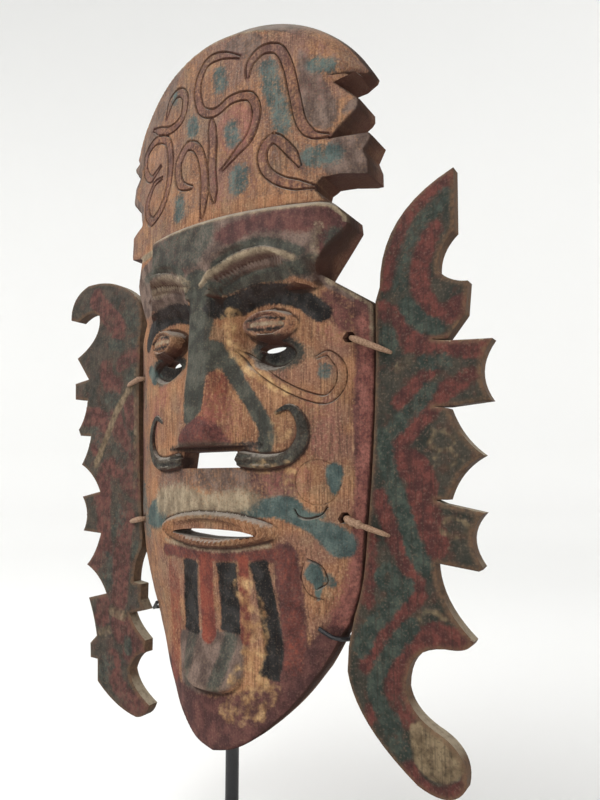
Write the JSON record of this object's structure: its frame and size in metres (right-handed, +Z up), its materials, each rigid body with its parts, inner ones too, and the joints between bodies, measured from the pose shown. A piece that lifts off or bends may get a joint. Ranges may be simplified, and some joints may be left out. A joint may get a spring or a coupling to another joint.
{
  "type": "carved mask",
  "caption": "Carved and painted wooden spirit mask with a toothed crest, tied-on ear boards, slit eyes and a hollow back, held upright by a hooked steel rod on a flat base.",
  "frame": {"origin": "centre of the underside of the stand's base", "axes": "+Z up, the face looks along -Y, +X to the right of a viewer in front of the mask"},
  "size_m": [0.347, 0.11, 0.538],
  "materials": {
    "face_wood": "old paint rubbed down to bare wood",
    "ear_wood": "dull dark red and green paint",
    "splint": "bare split cane",
    "black_steel": "satin black"
  },
  "bodies": {
    "root": {"mask": "face_wood", "ear_right": "ear_wood", "ear_left": "ear_wood", "tie_upper_right": "splint", "tie_lower_right": "splint", "tie_upper_left": "splint", "tie_lower_left": "splint", "stand_cradle": "black_steel", "stand_base": "black_steel"}
  },
  "joints": []
}
